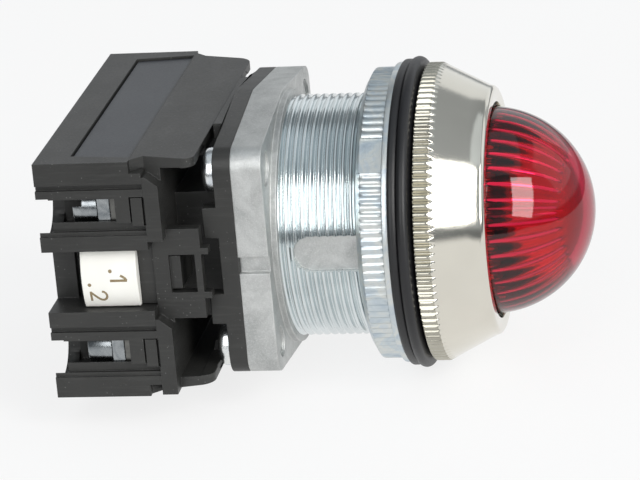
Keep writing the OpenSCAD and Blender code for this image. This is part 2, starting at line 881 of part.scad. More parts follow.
// One column beside the frame's wall, drawn at +x
module column(low, high) {
    depth = block_x - chamber_x;
    translate([block_x - depth, 0, 0])
        rotate([90, 0, 90])
            linear_extrude(depth)
                polygon([
                    [low, seam],
                    [high, seam],
                    [high, seam + column_land],
                    [high - column_chamfer, frame_front],
                    [low, frame_front]
                ]);
}

// Latch plate, window, hooks and inner block, drawn at +x
module latch() {
    half = latch_h / 2;
    window = latch_window_h / 2;
    window_front = latch_front - latch_bar;
    window_rear = window_front - latch_window_len;
    difference() {
        block([latch_x - latch_t, -half, seam], [latch_x, half, latch_front]);
        block([latch_x - latch_t - 1, -window, window_rear], [latch_x + 1, window, window_front]);
    }
    for (side = [-1, 1])
        translate([latch_x - latch_t, side * (window + latch_hook_h / 2) - latch_hook_h / 2, latch_front])
            cube([latch_t, latch_hook_h, latch_hook]);
    // block seen through the window, standing on the waist
    block(
        [waist_x - 1, -window + latch_core_gap, window_rear],
        [latch_x - 2 * latch_core_gap, window - latch_core_gap, window_rear + latch_core_len]
    );
}

module clip_frame() color([0.2, 0.2, 0.19]) lamp_axis() {
    upper = upper_row;
    lower = -lower_row;
    difference() {
        union() {
            block([-wing_w / 2, -block_y + wing_t, seam], [wing_w / 2, block_y - wing_t, frame_front]);
            both_ends() {
                column(upper - column_drop, upper + column_rise);
                column(-block_y + seat_gap, lower + column_rise);
                latch();
                // snap teeth
                for (row = rows)
                    block(
                        [block_x - snap_t + seat_gap, row - snap_h / 2, seam - snap_len],
                        [block_x - face_gap, row + snap_h / 2, seam + eps]
                    );
                // filler between the latch plate and the wall
                block([chamber_x, -latch_h / 2, seam], [latch_x, latch_h / 2, frame_front]);
            }
            difference() {
                union() {
                    wing();
                    mirror([0, 1, 0])
                        wing();
                }
                for (i = [0:3])
                    at_corner(i)
                        turned(screw_head_d / 2 + head_room, plate_rear - screw_head_h - head_room, plate_rear);
            }
            block([-waist_x, -waist_y, seam], [waist_x, waist_y, plate_rear - face_gap / 2]);
        }
        // hollow of the waist
        block(
            [-waist_x + waist_wall, -waist_y + waist_wall, frame_front],
            [waist_x - waist_wall, waist_y - waist_wall, plate_rear + 1]
        );
        // dark slot behind the snap teeth
        both_ends()
            for (row = rows)
                block(
                    [block_x - slot_depth, row - snap_h / 2, seam - face_gap * 2],
                    [block_x + 1, row + snap_h / 2, seam + face_gap]
                );
        // ways through for the supply pins
        for (side = [-1, 1])
            translate([side * pin_offset, 0, 0])
                turned(pin_d / 2 + thread_gap, seam - 1, frame_front + 1);
    }
}

module label_plate() color([0.36, 0.37, 0.38]) lamp_axis() {
    translate([0, block_y - label_sink, wing_rear - label_h - seat_gap])
        rotate([90, 0, 0])
            linear_extrude(label_t)
                offset_label();
}

// Outline of the label plate, a little smaller than its seat
module offset_label() {
    half = label_w / 2 - seat_gap;
    polygon([
        [-half, seat_gap],
        [half, seat_gap],
        [half + label_splay, label_h - seat_gap],
        [-half - label_splay, label_h - seat_gap]
    ]);
}

// Marker plate with a bulging face, drawn at +x
module marker_plate() {
    start = rear + marker_slot_start + marker_gap;
    middle = (recess_top - recess_bottom) / 2;
    intersection() {
        block(
            [marker_x - marker_t, middle - marker_h / 2, start],
            [block_x, middle + marker_h / 2, start + marker_w]
        );
        translate([marker_x + marker_bulge - marker_r, middle, 0])
            turned(marker_r, start - 1, start + marker_w + 1);
    }
}

module marker_plate_1() color("ivory") lamp_axis() mirror([1, 0, 0]) marker_plate();

module marker_plate_2() color("ivory") lamp_axis() marker_plate();

module terminal_screw(i) color("silver") lamp_axis() at_terminal(i) {
    difference() {
        union() {
            turned(clamp_head_d / 2, head_rear, head_front);
            turned(clamp_screw_d / 2, head_front - eps, head_front + clamp_screw_len);
        }
        rotate(20 + 47 * i)
            block(
                [-clamp_head_d, -clamp_slot_w / 2, head_rear - 1],
                [clamp_head_d, clamp_slot_w / 2, head_rear + clamp_slot_depth]
            );
    }
}

module terminal_screw_1() terminal_screw(0);

module terminal_screw_2() terminal_screw(1);

module terminal_screw_3() terminal_screw(2);

module terminal_screw_4() terminal_screw(3);

module clamp_washer(i) color("silver") lamp_axis() at_terminal(i) {
    half = clamp_w / 2;
    difference() {
        block([-half, -half, clamp_front - clamp_t], [half, half, clamp_front]);
        turned(clamp_screw_d / 2 + thread_gap, clamp_front - clamp_t - 1, clamp_front + 1);
    }
}

module clamp_washer_1() clamp_washer(0);

module clamp_washer_2() clamp_washer(1);

module clamp_washer_3() clamp_washer(2);

module clamp_washer_4() clamp_washer(3);

module terminal_bar(row) color("gold") lamp_axis() difference() {
    block([-bay_x + 2 * seat_gap, row - bar_w / 2, bar_rear], [bay_x - 2 * seat_gap, row + bar_w / 2, bay_front]);
    both_ends()
        translate([terminal_x, row, 0])
            turned(clamp_screw_d / 2 + thread_gap, bar_rear - 1, bay_front + 1);
}

module terminal_bar_1() terminal_bar(rows[0]);

module terminal_bar_2() terminal_bar(rows[1]);

module lamp_holder() color([0.15, 0.15, 0.15]) lamp_axis() {
    outer = holder_d / 2;
    difference() {
        turned(outer, plate_rear, holder_reach);
        turned(outer - holder_wall, plate_rear + holder_wall, holder_reach + 1);
        for (side = [-1, 1])
            translate([side * pin_offset, 0, 0])
                turned(pin_d / 2 + thread_gap, plate_rear - 1, holder_reach);
    }
}

module light_board() color([0.1, 0.35, 0.18]) lamp_axis()
    turned(neck_bore_d / 2 - holder_gap / 3, holder_reach, holder_reach + light_board_t);

module diode_cluster() color([0.9, 0.3, 0.3]) lamp_axis() {
    base = holder_reach + light_board_t;
    for (i = [0:diode_count])
        rotate(i * 360 / diode_count)
            translate([i == diode_count ? 0 : diode_ring_r, 0, 0]) {
                turned(diode_d / 2, base, base + diode_len - diode_d / 2);
                intersection() {
                    translate([0, 0, base + diode_len - diode_d / 2])
                        sphere(d = diode_d);
                    turned(diode_d, base, base + diode_len);
                }
            }
}

module supply_pin(side) color("gold") lamp_axis()
    translate([side * pin_offset, 0, 0])
        turned(pin_d / 2, board_front, holder_reach);

module supply_pin_1() supply_pin(-1);

module supply_pin_2() supply_pin(1);

module driver_board() color([0.1, 0.35, 0.18]) lamp_axis()
    block(
        [-chamber_x + seat_gap, -chamber_y + seat_gap, bay_front],
        [chamber_x - seat_gap, chamber_y - seat_gap, board_front]
    );

module capacitor() color([0.12, 0.15, 0.3]) lamp_axis()
    translate([-part_gap / 2 - capacitor_len, capacitor_d / 2 - part_gap, bay_front - capacitor_d / 2])
        rotate([0, 90, 0])
            cylinder(d = capacitor_d, h = capacitor_len);

module rectifier() color([0.1, 0.1, 0.1]) lamp_axis()
    translate([part_gap, -part_gap, bay_front - rectifier_t])
        cube([rectifier_len, rectifier_w, rectifier_t]);

module series_resistor() color([0.75, 0.65, 0.5]) lamp_axis()
    translate([part_gap, -2 * part_gap - resistor_d / 2, bay_front - resistor_d / 2])
        rotate([0, 90, 0])
            cylinder(d = resistor_d, h = resistor_len);

body_casting();
ring_nut();
panel_washer();
panel_gasket();
bezel_ring();
lens_dome();
lens_seal();
base_plate();
base_screw_1();
base_screw_2();
base_screw_3();
base_screw_4();
terminal_housing();
clip_frame();
label_plate();
marker_plate_1();
marker_plate_2();
terminal_screw_1();
terminal_screw_2();
terminal_screw_3();
terminal_screw_4();
clamp_washer_1();
clamp_washer_2();
clamp_washer_3();
clamp_washer_4();
terminal_bar_1();
terminal_bar_2();
lamp_holder();
light_board();
diode_cluster();
supply_pin_1();
supply_pin_2();
driver_board();
capacitor();
rectifier();
series_resistor();
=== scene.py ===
import math

import bmesh
import bpy
from mathutils import Matrix, Vector


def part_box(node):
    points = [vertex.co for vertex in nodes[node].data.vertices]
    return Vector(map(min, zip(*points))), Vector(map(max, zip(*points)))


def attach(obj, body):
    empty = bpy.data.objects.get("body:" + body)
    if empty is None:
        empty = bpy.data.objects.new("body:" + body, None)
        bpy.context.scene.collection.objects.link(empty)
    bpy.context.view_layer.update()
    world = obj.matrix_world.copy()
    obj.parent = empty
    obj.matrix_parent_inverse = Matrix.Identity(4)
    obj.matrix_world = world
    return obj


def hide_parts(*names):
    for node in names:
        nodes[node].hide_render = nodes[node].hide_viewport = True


# The panel pilot light: its solids come from the frame, in metres. The lamp's axis is the frame's Y
# axis, with the lens towards -Y and the terminals towards +Y, and the panel's front face at y = 0.

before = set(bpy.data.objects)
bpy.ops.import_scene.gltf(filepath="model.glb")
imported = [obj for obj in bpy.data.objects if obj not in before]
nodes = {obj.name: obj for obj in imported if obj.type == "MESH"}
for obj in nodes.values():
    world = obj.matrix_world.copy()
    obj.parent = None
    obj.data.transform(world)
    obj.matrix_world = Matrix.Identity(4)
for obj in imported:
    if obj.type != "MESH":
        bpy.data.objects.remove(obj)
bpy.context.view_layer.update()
MM = 0.001

# Sizes that several pieces share, in mm. A reach is mm in front of the panel.
NECK_RADIUS = 15.0
NECK_BORE = 15.06
COLLAR_REACH = -13.95
SCREW_SHANK = 1.75
SCREW_POINT = 1.45
KEYWAY_HALF = 2.25

# How many teeth and ribs there are, and how finely each is divided
TEETH = 110
STEPS_A_TOOTH = 10
LENS_RIBS = 36
STEPS_A_RIB = 12

# In metres: a pitch so long that teeth run straight, how far outside the inner skin a rib's
# points may lie, and the length over which the ribs fade in
STRAIGHT = 1000.0
RIB_SKIN = 0.0002
RIB_FADE = 0.0014

FLOAT = "NodeSocketFloat"
WHITE = (1.0, 1.0, 1.0)
COOL_WHITE = (0.90, 0.955, 1.0)
NUMBERS = (1, 2, 3, 4)


def linked(name, data):
    """A new object in the scene."""
    made = bpy.data.objects.new(name, data)
    bpy.context.collection.objects.link(made)
    return made


# ---------------------------------------------------------------- camera and light

def make_camera():
    data = bpy.data.cameras.new("camera")
    data.sensor_width = 36
    data.lens = 207.66
    data.clip_start = 0.01
    camera = linked("camera", data)
    right = Vector((0.15750, -0.98412, -0.08186))
    up = Vector((0.34157, -0.02349, 0.93956))
    back = Vector((-0.92657, -0.17594, 0.33245))
    turn = Matrix((right, up, back)).transposed().to_4x4()
    camera.matrix_world = Matrix.Translation((-0.4268, -0.0693, 0.1497)) @ turn
    bpy.context.scene.camera = camera


def make_panel(name, turn, rise, distance, size, radiance, roll=0, colour=(1, 1, 1)):
    """A soft panel facing the lamp. Turn goes from -X towards -Y, rise up from the ground."""
    data = bpy.data.lights.new(name, "AREA")
    data.shape = "RECTANGLE"
    data.size, data.size_y = size
    data.energy = radiance * math.pi * size[0] * size[1]
    data.color = colour
    panel = linked(name, data)
    turn, rise = math.radians(turn), math.radians(rise)
    level = math.cos(rise)
    back = Vector((-math.cos(turn) * level, -math.sin(turn) * level, math.sin(rise)))
    right = Vector((0, 0, 1)).cross(back).normalized()
    axes = Matrix((right, back.cross(right), back)).transposed().to_4x4()
    rolled = Matrix.Rotation(math.radians(roll), 4, "Z")
    panel.matrix_world = Matrix.Translation(back * distance) @ axes @ rolled


# ---------------------------------------------------------------- node writing

class Value:
    """A number in a node tree: Python sums on it become Math nodes."""

    def __init__(self, owner, socket):
        self.owner = owner
        self.socket = socket

    def _sum(self, operation, *others):
        return self._math(operation, self, *others)

    def _math(self, operation, *values):
        return self.owner.node("ShaderNodeMath", {"operation": operation}, dict(enumerate(values)))

    def __add__(self, other):
        return self._sum("ADD", other)

    __radd__ = __add__

    def __sub__(self, other):
        return self._sum("SUBTRACT", other)

    def __rsub__(self, other):
        return self._math("SUBTRACT", other, self)

    def __mul__(self, other):
        return self._sum("MULTIPLY", other)

    __rmul__ = __mul__

    def __truediv__(self, other):
        return self._sum("DIVIDE", other)

    def __pow__(self, other):
        return self._sum("POWER", other)

    def below(self, edge):
        return self._sum("LESS_THAN", edge)

    def smallest(self, other):
        return self._sum("MINIMUM", other)

    def largest(self, other):
        return self._sum("MAXIMUM", other)

    def sine(self):
        return self._sum("SINE")

    def cosine(self):
        return self._sum("COSINE")

    def turn_from(self, across):
        """The angle whose sine and cosine go as self and across."""
        return self._sum("ARCTAN2", across)

    def root(self):
        return self._sum("SQRT")

    def size(self):
        return self._sum("ABSOLUTE")

    def spread(self, low, high, to_low=0.0, to_high=1.0):
        """Carries low..high to to_low..to_high and stops there."""
        return self.owner.node("ShaderNodeMapRange", {"clamp": True}, {
            "Value": self, "From Min": low, "From Max": high, "To Min": to_low, "To Max": to_high})


def set_stops(ramp, stops):
    """The colour ramp gets these (position, colour) stops."""
    while len(ramp.elements) < len(stops):
        ramp.elements.new(0.5)
    for element, (position, colour) in zip(ramp.elements, stops):
        element.position = position
        element.color = colour + (1,)


class Writer:
    """Writes the nodes of one tree."""

    def __init__(self, tree):
        self.tree = tree

    def node(self, kind, settings, inputs, output=0):
        made = self.tree.nodes.new(kind)
        for name, value in settings.items():
            if name == "stops":
                set_stops(made.color_ramp, value)
            else:
                setattr(made, name, value)
        for name, value in inputs.items():
            self.feed(made.inputs[name], value)
        return Value(self, made.outputs[output])

    def feed(self, socket, value):
        if isinstance(value, Value):
            self.tree.links.new(value.socket, socket)
        elif isinstance(value, tuple) and socket.type == "RGBA" and len(value) == 3:
            socket.default_value = value + (1,)
        else:
            socket.default_value = value

    def parts(self, vector):
        """A vector's three numbers."""
        split = self.node("ShaderNodeSeparateXYZ", {}, {0: vector}).socket.node
        return [Value(self, output) for output in split.outputs]


class Shading(Writer):
    """The nodes of one material, or of the world."""

    def __init__(self, owner):
        owner.use_nodes = True
        super().__init__(owner.node_tree)

    def blend(self, amount, first, second):
        """Mixes two colours, which are the Mix node's sockets 6 and 7, into its output 2."""
        inputs = {"Factor": amount, 6: first, 7: second}
        return self.node("ShaderNodeMix", {"data_type": "RGBA"}, inputs, 2)

    def axes(self, place="Object"):
        return self.parts(self.node("ShaderNodeTexCoord", {}, {}, place))

    def seen(self, *kinds):
        """1 for the kinds of ray named, 0 for the rest."""
        found = [self.node("ShaderNodeLightPath", {}, {}, f"Is {kind} Ray") for kind in kinds]
        most = found[0]
        for other in found[1:]:
            most = most.largest(other)
        return most


class Finish(Shading):
    """One material, written as a short list of nodes."""

    def __init__(self, name, **constants):
        self.material = bpy.data.materials.new(name)
        super().__init__(self.material)
        self.shader = self.tree.nodes["Principled BSDF"]
        for socket, value in constants.items():
            self.shader.inputs[socket.replace("_", " ")].default_value = value
        self.place = self.node("ShaderNodeTexCoord", {}, {}, "Object")

    def grain(self, scale, detail=2.0, rough=0.5, stretch=None, output=0, distortion=0.0):
        """Noise whose cells are about 1/scale metres across."""
        place = self.place if stretch is None else self.node(
            "ShaderNodeMapping", {}, {"Vector": self.place, "Scale": stretch})
        return self.node("ShaderNodeTexNoise", {}, {
            "Vector": place, "Scale": scale, "Detail": detail, "Roughness": rough,
            "Distortion": distortion}, output)

    def cells(self, scale, feature="F1", output="Distance"):
        inputs = {"Vector": self.place, "Scale": scale}
        return self.node("ShaderNodeTexVoronoi", {"feature": feature}, inputs, output)

    def edges(self, width, low=0.02, high=0.35):
        """1 on the rims of corners, 0 on open faces."""
        rounded = self.node("ShaderNodeBevel", {"samples": 4}, {"Radius": width})
        flat = self.node("ShaderNodeNewGeometry", {}, {}, "Normal")
        level = self.node(
            "ShaderNodeVectorMath", {"operation": "DOT_PRODUCT"}, {0: rounded, 1: flat}, "Value")
        return (1 - level).spread(low, high)

    def bumps(self, height, depth, rounded=None):
        inputs = {"Height": height, "Distance": depth, "Strength": 1.0}
        if rounded:
            inputs["Normal"] = self.node("ShaderNodeBevel", {"samples": 6}, {"Radius": rounded})
        return self.node("ShaderNodeBump", {}, inputs)

    def finish(self, **links):
        for socket, value in links.items():
            self.feed(self.shader.inputs[socket.replace("_", " ")], value)
        return self.material


# ---------------------------------------------------------------- finishes

def black_moulding():
    colour = (0.017, 0.017, 0.016)
    finish = Finish("black_moulding", IOR=1.5)
    broad = finish.grain(140, 3)
    fine = finish.grain(3200, 3, 0.6)
    drag = finish.grain(700, 3, 0.65, (0.25, 0.25, 4.0))
    dust = finish.cells(1500)
    speck = dust.spread(0.07, 0.13, 1, 0) * finish.grain(310, 1).spread(0.48, 0.56)
    worn = finish.edges(0.00018, 0.04, 0.5) * finish.grain(900, 2).spread(0.35, 0.7)
    pale = tuple(c * 2.3 for c in colour)
    tone = finish.blend(broad.spread(0.3, 0.7), colour, tuple(c * 1.45 for c in colour))
    tone = finish.blend(worn * 0.5, tone, (0.075, 0.075, 0.072))
    tone = finish.blend(drag.spread(0.52, 0.72) * 0.6, tone, pale)
    tone = finish.blend(speck * 0.25, tone, (0.4, 0.4, 0.39))
    height = fine * 0.6 + drag * 0.5
    return finish.finish(
        Base_Color=tone,
        Roughness=fine * 0.16 + drag * 0.14 + 0.3,
        Normal=finish.bumps(height, 0.000025, 0.00012),
    )


def label_facing():
    finish = Finish("label_facing", IOR=1.5)
    fine = finish.grain(4200, 3, 0.65)
    broad = finish.grain(120, 2)
    # The base colour, lighter and bluer than the black moulding's, is painted sheen of the light
    # from above on the label's top face.
    tone = finish.blend(broad.spread(0.3, 0.7), (0.030, 0.034, 0.041), (0.038, 0.043, 0.051))
    return finish.finish(
        Base_Color=tone,
        Roughness=fine * 0.15 + 0.36,
        Normal=finish.bumps(fine, 0.000018, 0.00012),
    )


def cast_metal():
    finish = Finish("cast_metal", Metallic=0.92)
    skin = finish.grain(1500, 5, 0.7)
    flow = finish.grain(210, 4, 0.6, distortion=0.6)
    glint = finish.cells(9000, output="Color")
    spark = finish.node("ShaderNodeSeparateColor", {}, {"Color": glint}).spread(0.5, 1.0)
    rim = finish.edges(0.0003, 0.03, 0.4)
    tone = finish.blend(flow.spread(0.35, 0.68), (0.40, 0.41, 0.405), (0.60, 0.61, 0.60))
    tone = finish.blend(rim * 0.5, tone, (0.74, 0.74, 0.72))
    tone = finish.blend(spark * 0.35, tone, (0.72, 0.73, 0.72))
    return finish.finish(
        Base_Color=tone,
        Roughness=skin * 0.3 + flow * 0.12 + 0.26,
        Normal=finish.bumps(skin * 0.8 + flow * 0.5, 0.00009, 0.00025),
    )


def cut_thread():
    finish = Finish("cut_thread", Metallic=1.0)
    scratch = finish.grain(1500, 4, 0.7)
    stain = finish.grain(170, 3)
    tone = finish.blend(stain.spread(0.35, 0.7), (0.60, 0.65, 0.66), (0.72, 0.77, 0.78))
    return finish.finish(
        Base_Color=tone,
        Roughness=scratch * 0.08 + 0.11,
        Normal=finish.bumps(scratch, 0.000006),
    )


def zinc_plate():
    finish = Finish("zinc_plate", Metallic=1.0)
    film = finish.grain(260, 3, 0.6, distortion=1.2)
    fine = finish.grain(2400, 3, 0.6)
    tone = finish.node("ShaderNodeValToRGB", {"stops": (
        (0.28, (0.45, 0.52, 0.58)), (0.45, (0.56, 0.62, 0.65)),
        (0.58, (0.66, 0.68, 0.66)), (0.74, (0.53, 0.60, 0.66)),
    )}, {"Fac": film}, "Color")
    return finish.finish(
        Base_Color=tone,
        Roughness=fine * 0.24 + 0.24,
        Normal=finish.bumps(fine, 0.00003, 0.00012),
    )


def screw_steel():
    finish = Finish("screw_steel", Metallic=1.0)
    fine = finish.grain(1900, 3, 0.6)
    film = finish.grain(500, 2, 0.5, distortion=0.8)
    tone = finish.blend(film.spread(0.35, 0.65), (0.62, 0.66, 0.70), (0.80, 0.81, 0.80))
    return finish.finish(
        Base_Color=tone,
        Roughness=fine * 0.2 + 0.14,
        Normal=finish.bumps(fine, 0.000012, 0.00015),
    )


def terminal_steel():
    finish = Finish("terminal_steel", Metallic=1.0)
    fine = finish.grain(1700, 3, 0.6)
    film = finish.grain(420, 3, 0.6, distortion=1.0)
    # Much darker than the screw steel: painted shade on the terminal screws and clamp washers deep
    # inside the windows.
    tone = finish.blend(film.spread(0.35, 0.65), (0.20, 0.22, 0.235), (0.36, 0.38, 0.39))
    return finish.finish(
        Base_Color=tone,
        Roughness=fine * 0.2 + 0.16,
        Normal=finish.bumps(fine, 0.000015, 0.0002),
    )


def satin_nickel():
    finish = Finish("satin_nickel", Metallic=1.0)
    turned = finish.grain(300, 5, 0.75, (1.0, 60.0, 1.0))
    cloud = finish.grain(90, 3)
    tone = finish.blend(cloud.spread(0.3, 0.7), (0.66, 0.635, 0.565), (0.73, 0.705, 0.63))
    return finish.finish(
        Base_Color=tone,
        Roughness=turned * 0.05 + cloud * 0.03 + 0.05,
        Normal=finish.bumps(turned, 0.000004),
    )


def knurled_nickel():
    finish = Finish("knurled_nickel", Metallic=1.0)
    fine = finish.grain(1400, 4, 0.7)
    dull = finish.grain(220, 3)
    # Darker and warmer than the satin nickel: painted shade over the whole knurled band.
    tone = finish.blend(dull.spread(0.3, 0.7), (0.37, 0.355, 0.30), (0.50, 0.48, 0.41))
    return finish.finish(
        Base_Color=tone,
        Roughness=fine * 0.16 + 0.14,
        Normal=finish.bumps(fine, 0.000014),
    )


def black_rubber():
    finish = Finish("black_rubber", IOR=1.48)
    fine = finish.grain(2600, 3, 0.6)
    dull = finish.grain(180, 3)
    tone = finish.blend(dull.spread(0.3, 0.7), (0.006, 0.006, 0.007), (0.011, 0.011, 0.013))
    return finish.finish(
        Base_Color=tone,
        Roughness=fine * 0.15 + dull * 0.15 + 0.28,
        Normal=finish.bumps(fine, 0.00001),
    )


def marker_card():
    finish = Finish("marker_card", IOR=1.46)
    fine = finish.grain(2500, 2)
    cloud = finish.grain(200, 2)
    tone = finish.blend(cloud.spread(0.3, 0.7), (0.88, 0.865, 0.81), (0.93, 0.915, 0.865))
    return finish.finish(
        Base_Color=tone,
        Roughness=fine * 0.12 + 0.36,
        Normal=finish.bumps(fine, 0.000008, 0.0001),
    )


def marker_ink():
    finish = Finish("marker_ink", IOR=1.46)
    patch = finish.grain(3800, 3, 0.7)
    tone = finish.blend(patch.spread(0.3, 0.75), (0.21, 0.15, 0.075), (0.33, 0.26, 0.15))
    return finish.finish(Base_Color=tone, Roughness=patch * 0.2 + 0.4)


def red_lens():
    finish = Finish("red_lens", IOR=1.49, Transmission_Weight=1.0)
    faint = finish.grain(350, 2)
    rim = finish.node("ShaderNodeLayerWeight", {}, {"Blend": 0.5}, "Facing").spread(0.40, 0.90)
    tone = finish.blend(faint.spread(0.3, 0.7), (0.60, 0.008, 0.042), (0.66, 0.010, 0.052))
    # Darker towards the tip: painted shade.
    tip = finish.axes()[1].spread(-0.0229, -0.0180, 1, 0)
    tone = finish.blend(tip * 0.6, tone, (0.34, 0.006, 0.030))
    tone = finish.blend(rim * 0.9, tone, (0.09, 0.002, 0.008))
    return finish.finish(Base_Color=tone, Roughness=faint * 0.02 + 0.01)


def bright_brass():
    finish = Finish("bright_brass", Metallic=1.0)
    fine = finish.grain(1500, 3)
    tone = finish.blend(fine.spread(0.3, 0.7), (0.70, 0.52, 0.24), (0.80, 0.63, 0.33))
    return finish.finish(
        Base_Color=tone,
        Roughness=fine * 0.2 + 0.22,
        Normal=finish.bumps(fine, 0.00001),
    )


def plated_brass():
    finish = Finish("plated_brass", Metallic=1.0)
    fine = finish.grain(1300, 3)
    # Dark grey in place of brass: painted shade on the terminal bars inside the windows.
    tone = finish.blend(fine.spread(0.3, 0.7), (0.11, 0.11, 0.105), (0.18, 0.18, 0.17))
    return finish.finish(
        Base_Color=tone,
        Roughness=fine * 0.2 + 0.25,
        Normal=finish.bumps(fine, 0.00001),
    )


def circuit_board():
    finish = Finish("circuit_board", IOR=1.5)
    weave = finish.grain(1700, 2)
    tracks = finish.cells(420, "DISTANCE_TO_EDGE").spread(0.02, 0.05, 1, 0)
    tone = finish.blend(tracks * 0.5, (0.012, 0.11, 0.045), (0.05, 0.24, 0.10))
    return finish.finish(
        Base_Color=tone,
        Roughness=weave * 0.15 + 0.3,
        Normal=finish.bumps(tracks * 0.6 + weave * 0.3, 0.00003),
    )


def diode_resin():
    finish = Finish("diode_resin", IOR=1.5)
    haze = finish.grain(900, 2)
    tone = finish.blend(haze.spread(0.3, 0.7), (0.55, 0.05, 0.05), (0.72, 0.12, 0.10))
    return finish.finish(Base_Color=tone, Roughness=haze * 0.2 + 0.1)


def component_skin(name, first, second, rough):
    finish = Finish(name, IOR=1.5)
    fine = finish.grain(1800, 2)
    tone = finish.blend(fine.spread(0.3, 0.7), first, second)
    return finish.finish(
        Base_Color=tone,
        Roughness=fine * 0.15 + rough,
        Normal=finish.bumps(fine, 0.00001, 0.0001),
    )


def pale_ground():
    finish = Finish("pale_ground", Roughness=0.9)
    soft = finish.grain(60, 2)
    tone = finish.blend(soft, (0.90, 0.90, 0.90), (0.92, 0.92, 0.92))
    glow = finish.node("ShaderNodeEmission", {}, {"Color": WHITE, "Strength": 1.0})
    both = finish.node("ShaderNodeMixShader", {}, {
        "Fac": finish.seen("Camera", "Glossy", "Transmission") * 0.8,
        1: Value(finish, finish.shader.outputs["BSDF"]), 2: glow})
    finish.feed(finish.tree.nodes["Material Output"].inputs["Surface"], both)
    return finish.finish(Base_Color=tone)


# ---------------------------------------------------------------- making meshes

def object_from(name, vertices, faces, smooth=True):
    """A mesh object whose double points are merged and whose faces point outwards."""
    mesh = bpy.data.meshes.new(name)
    mesh.from_pydata(vertices, [], faces)
    mesh.update()
    made = linked(name, mesh)
    work = bmesh.new()
    work.from_mesh(mesh)
    bmesh.ops.remove_doubles(work, verts=work.verts, dist=1e-7)
    bmesh.ops.recalc_face_normals(work, faces=work.faces)
    work.to_mesh(mesh)
    work.free()
    for face in mesh.polygons:
        face.use_smooth = smooth
    return made


def ring_points(outline, angle):
    """The outline's points of (radius, reach), in mm, at one angle round the lamp's axis."""
    return [
        (r * math.cos(angle) * MM, -reach * MM, r * math.sin(angle) * MM)
        for r, reach in outline
    ]


def ring_faces(turns, count, loop=True, joined=True):
    """Faces between neighbouring turns of count points. A loop's last point meets its first."""
    faces = []
    for i in range(turns if joined else turns - 1):
        here, there = i * count, (i + 1) % turns * count
        for j in range(count if loop else count - 1):
            after = (j + 1) % count
            faces.append((here + j, here + after, there + after, there + j))
    return faces


def turned(name, outline, turns, loop=True):
    """An outline of (radius, reach), in mm, carried round the lamp's axis."""
    vertices = []
    for i in range(turns):
        vertices += ring_points(outline, 2 * math.pi * i / turns)
    return object_from(name, vertices, ring_faces(turns, len(outline), loop))


def arc(centre, radius, start, end, steps):
    """Points on an arc from the start angle to the end angle, in degrees."""
    return [
        (centre[0] + radius * math.cos(math.radians(start + (end - start) * i / steps)),
         centre[1] + radius * math.sin(math.radians(start + (end - start) * i / steps)))
        for i in range(steps + 1)
    ]


def keep_shape(made, modifier):
    """The object's mesh becomes what the modifier makes of it."""
    seen = made.evaluated_get(bpy.context.evaluated_depsgraph_get())
    shaped = bpy.data.meshes.new_from_object(seen)
    made.modifiers.remove(modifier)
    made.data = shaped


# ---------------------------------------------------------------- geometry trees

class Tree(Writer):
    """A Geometry Nodes tree with named inputs."""

    def __init__(self, name, sizes):
        super().__init__(bpy.data.node_groups.new(name, "GeometryNodeTree"))
        face = self.tree.interface
        face.new_socket("Geometry", in_out="INPUT", socket_type="NodeSocketGeometry")
        self.names = {}
        for size, kind in sizes.items():
            socket = face.new_socket(size, in_out="INPUT", socket_type=kind)
            self.names[size] = socket.identifier
        face.new_socket("Geometry", in_out="OUTPUT", socket_type="NodeSocketGeometry")
        self.start = self.tree.nodes.new("NodeGroupInput")
        self.end = self.tree.nodes.new("NodeGroupOutput")

    def given(self, name):
        return Value(self, self.start.outputs[name])

    def shape(self, shrink, x, y, z):
        """The mesh that was given, with x and z shrunk towards the lamp's axis."""
        moved = self.node("ShaderNodeCombineXYZ", {}, {"X": x * shrink, "Y": y, "Z": z * shrink})
        return self.node(
            "GeometryNodeSetPosition", {}, {"Geometry": self.given("Geometry"), "Position": moved})

    def close(self, geometry, material):
        real = self.node("GeometryNodeRealizeInstances", {}, {"Geometry": geometry})
        made = self.node("GeometryNodeSetMaterial", {}, {"Geometry": real, "Material": material})
        self.feed(self.end.inputs[0], made)

    def carve(self, target, sizes):
        """Runs the tree on a mesh object and keeps the result as its plain mesh."""
        modifier = target.modifiers.new("rule", "NODES")
        modifier.node_group = self.tree
        for name, value in sizes.items():
            modifier[self.names[name]] = value
        keep_shape(target, modifier)


def ridge_tree(material):
    """Teeth along the axis or a thread round it, sunk below a crest radius."""
    tree = Tree("ridges", {
        "Crest radius": FLOAT, "Depth": FLOAT, "Teeth": FLOAT, "Pitch": FLOAT, "Sharpness": FLOAT})
    x, y, z = tree.parts(tree.node("GeometryNodeInputPosition", {}, {}))
    turn = z.turn_from(x) / (2 * math.pi)
    phase = turn * tree.given("Teeth") + y / tree.given("Pitch")
    groove = (phase * math.pi).cosine().size() ** tree.given("Sharpness")
    radius = (x * x + z * z).root()
    limit = tree.given("Crest radius") - groove * tree.given("Depth")
    shrink = radius.smallest(limit) / radius
    tree.close(tree.shape(shrink, x, y, z), material)
    return tree


def rib_tree(material):
    """Ribs on the inside of a dome, from its foot to a clear spot at the tip."""
    tree = Tree("dome_ribs", {
        "Centre": FLOAT, "Inner radius": FLOAT, "Height": FLOAT, "Ribs": FLOAT,
        "Clear spot": FLOAT})
    x, y, z = tree.parts(tree.node("GeometryNodeInputPosition", {}, {}))
    past = (y - tree.given("Centre")).smallest(0.0)
    across = (x * x + z * z).root()
    ridge = (z.turn_from(x) * tree.given("Ribs")).sine() * 0.5 + 0.5
    from_centre = (across * across + past * past).root()
    inside = from_centre.below(tree.given("Inner radius") + RIB_SKIN)
    start = tree.node("ShaderNodeMapRange", {"interpolation_type": "SMOOTHSTEP"}, {
        "Value": across, "From Min": tree.given("Clear spot"),
        "From Max": tree.given("Clear spot") + RIB_FADE})
    depth = ridge * inside * (start * tree.given("Height"))
    shrink = 1.0 - depth / across.largest(0.001)
    tree.close(tree.shape(shrink, x, y, z), material)
    return tree


